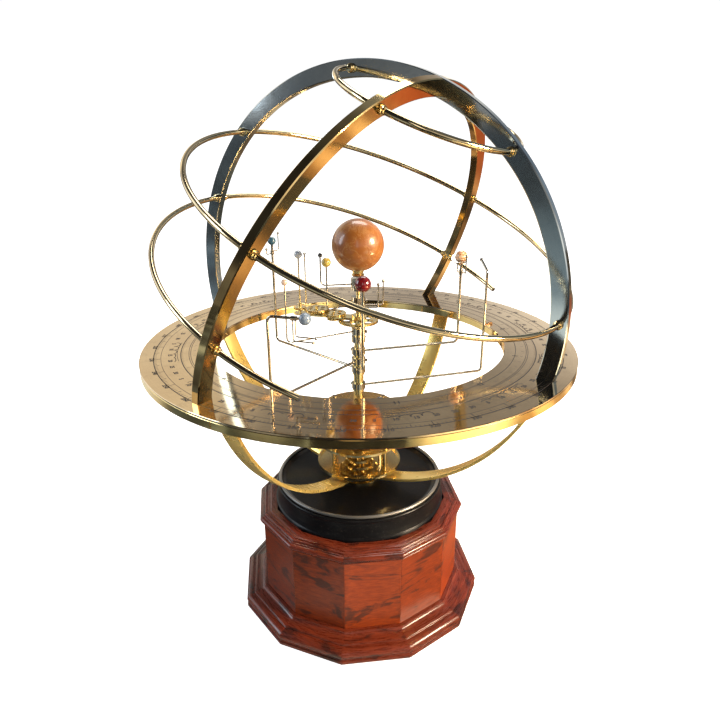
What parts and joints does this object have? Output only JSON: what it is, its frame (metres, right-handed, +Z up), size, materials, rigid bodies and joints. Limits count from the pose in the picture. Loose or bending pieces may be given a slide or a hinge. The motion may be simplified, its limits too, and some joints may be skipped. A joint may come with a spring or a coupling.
{
  "type": "orrery",
  "caption": "Brass orrery inside an armillary sphere: stone planets on bent wire arms, geared column, engraved ring plate, twelve-sided wooden base.",
  "frame": {"origin": "centre of the base's underside, on the surface it stands on", "axes": "+Z up along the planets' common axis; +X towards the foot of the solstitial ring on the side the pole leans to"},
  "size_m": [0.4211, 0.4212, 0.5507],
  "materials": {
    "banded_stone": "polished banded orange stone",
    "board": "plain inner board",
    "dark_stone": "polished dark stone",
    "earth_stone": "polished pale blue-white stone",
    "felt": "felt",
    "gear_brass": "polished clock brass",
    "gold_stone": "polished yellow stone",
    "grey_stone": "polished blue-grey stone",
    "knob_black": "black gloss knob",
    "lacquer": "black gloss lacquer on turned wood",
    "moon_stone": "polished white stone",
    "pale_stone": "polished pale stone",
    "plate_brass": "engraved polished brass",
    "red_stone": "polished deep red stone",
    "ring_brass": "polished brass with brushed edges",
    "rod_brass": "polished brass rod",
    "silver": "worn polished bead",
    "steel": "turned steel",
    "steel_wire": "nickelled brass wire and brass collars",
    "sun_stone": "polished orange calcite",
    "teal_stone": "polished teal stone",
    "wood": "satin lacquered red hardwood, stave grain"
  },
  "bodies": {
    "stand": {"base_boards": "board", "base_cornice": "wood", "base_plinth": "wood", "base_staves": "wood", "bead_rim": "silver", "centre_post": "steel", "column_tube": "gear_brass", "ecliptic_plate": "plate_brass", "equator_arc": "rod_brass", "equinoctial_ring": "ring_brass", "felt_pads": "felt", "fixed_wheel": "gear_brass", "floor_plate": "gear_brass", "hub_boss": "gear_brass", "lower_straps": "ring_brass", "middle_plate": "gear_brass", "movement_pillars": "gear_brass", "plate_bands": "plate_brass", "polar_circle": "rod_brass", "screws_and_nuts": "steel", "solstitial_ring": "ring_brass", "sun_ball": "sun_stone", "sun_finial": "gear_brass", "tropic_circle": "rod_brass", "turned_stand": "lacquer", "upper_plate": "gear_brass"},
    "mercury": {"mercury_tube": "gear_brass", "mercury_arm": "steel_wire", "mercury_ball": "dark_stone"},
    "venus": {"venus_tube": "gear_brass", "venus_arm": "steel_wire", "venus_ball": "gold_stone"},
    "earth": {"earth_tube": "gear_brass", "earth_arm": "gear_brass", "earth_ball": "earth_stone"},
    "mars": {"mars_tube": "gear_brass", "mars_arm": "steel_wire", "mars_ball": "pale_stone"},
    "jupiter": {"jupiter_tube": "gear_brass", "jupiter_arm": "steel_wire", "jupiter_ball": "red_stone"},
    "saturn": {"saturn_tube": "gear_brass", "saturn_arm": "steel_wire", "saturn_ball": "banded_stone", "saturn_ring": "steel"},
    "uranus": {"uranus_arm": "steel_wire", "uranus_ball": "grey_stone"},
    "neptune": {"neptune_arm": "steel_wire", "neptune_ball": "teal_stone"},
    "pluto": {"pluto_arm": "steel_wire", "pluto_ball": "dark_stone"},
    "year_arbor": {"year_arbor": "gear_brass"},
    "hand_drive": {"drive_spindle": "steel", "drive_knob": "knob_black"},
    "jupiter_reducer": {"jupiter_reducer": "gear_brass"},
    "saturn_reducer": {"saturn_reducer": "gear_brass"},
    "moon_train_first": {"moon_train_first": "gear_brass"},
    "moon_train_second": {"moon_train_second": "gear_brass"},
    "moon": {"moon_pipe": "gear_brass", "moon_ball": "moon_stone"}
  },
  "joints": [
    {"name": "mercury_turn", "type": "hinge", "parent": "stand", "child": "mercury", "pos_m": [0, 0, 0.25], "axis": [0, 0, 1], "continuous": true},
    {"name": "venus_turn", "type": "hinge", "parent": "stand", "child": "venus", "pos_m": [0, 0, 0.25], "axis": [0, 0, 1], "continuous": true},
    {"name": "earth_turn", "type": "hinge", "parent": "stand", "child": "earth", "pos_m": [0, 0, 0.25], "axis": [0, 0, 1], "continuous": true},
    {"name": "mars_turn", "type": "hinge", "parent": "stand", "child": "mars", "pos_m": [0, 0, 0.25], "axis": [0, 0, 1], "continuous": true},
    {"name": "jupiter_turn", "type": "hinge", "parent": "stand", "child": "jupiter", "pos_m": [0, 0, 0.25], "axis": [0, 0, 1], "continuous": true},
    {"name": "saturn_turn", "type": "hinge", "parent": "stand", "child": "saturn", "pos_m": [0, 0, 0.25], "axis": [0, 0, 1], "continuous": true},
    {"name": "uranus_turn", "type": "hinge", "parent": "stand", "child": "uranus", "pos_m": [0, 0, 0.25], "axis": [0, 0, 1], "continuous": true},
    {"name": "neptune_turn", "type": "hinge", "parent": "stand", "child": "neptune", "pos_m": [0, 0, 0.25], "axis": [0, 0, 1], "continuous": true},
    {"name": "pluto_turn", "type": "hinge", "parent": "stand", "child": "pluto", "pos_m": [0, 0, 0.25], "axis": [0, 0, 1], "continuous": true},
    {"name": "year_arbor_turn", "type": "hinge", "parent": "stand", "child": "year_arbor", "pos_m": [0.01342, -0.0199, 0.25], "axis": [0, 0, 1], "continuous": true},
    {"name": "hand_drive_turn", "type": "hinge", "parent": "stand", "child": "hand_drive", "pos_m": [0.01824, 0.0123, 0.25], "axis": [0, 0, 1], "continuous": true},
    {"name": "jupiter_reducer_turn", "type": "hinge", "parent": "stand", "child": "jupiter_reducer", "pos_m": [-0.01342, 0.0199, 0.25], "axis": [0, 0, 1], "continuous": true},
    {"name": "saturn_reducer_turn", "type": "hinge", "parent": "stand", "child": "saturn_reducer", "pos_m": [-0.0199, -0.01342, 0.25], "axis": [0, 0, 1], "continuous": true},
    {"name": "moon_train_first_turn", "type": "hinge", "parent": "earth", "child": "moon_train_first", "pos_m": [-0.02467, -0.00754, 0.25], "axis": [0, 0, 1], "continuous": true},
    {"name": "moon_train_second_turn", "type": "hinge", "parent": "earth", "child": "moon_train_second", "pos_m": [-0.04189, -0.01281, 0.25], "axis": [0, 0, 1], "continuous": true},
    {"name": "moon_turn", "type": "hinge", "parent": "earth", "child": "moon", "pos_m": [-0.0591, -0.01807, 0.25], "axis": [0, 0, 1], "continuous": true}
  ],
  "couplings": [
    {"joint": "mercury_turn", "follows": "earth_turn", "ratio": 4.1667},
    {"joint": "venus_turn", "follows": "earth_turn", "ratio": 1.625},
    {"joint": "mars_turn", "follows": "earth_turn", "ratio": 0.53191},
    {"joint": "jupiter_turn", "follows": "earth_turn", "ratio": 0.084056},
    {"joint": "saturn_turn", "follows": "earth_turn", "ratio": 0.033917},
    {"joint": "year_arbor_turn", "follows": "earth_turn", "ratio": -1},
    {"joint": "hand_drive_turn", "follows": "earth_turn", "ratio": -1.1923},
    {"joint": "jupiter_reducer_turn", "follows": "earth_turn", "ratio": -0.23641},
    {"joint": "saturn_reducer_turn", "follows": "earth_turn", "ratio": -0.056037},
    {"joint": "moon_train_first_turn", "follows": "earth_turn", "ratio": 3.0952},
    {"joint": "moon_train_second_turn", "follows": "earth_turn", "ratio": -6.1905},
    {"joint": "moon_turn", "follows": "earth_turn", "ratio": 12.381}
  ]
}
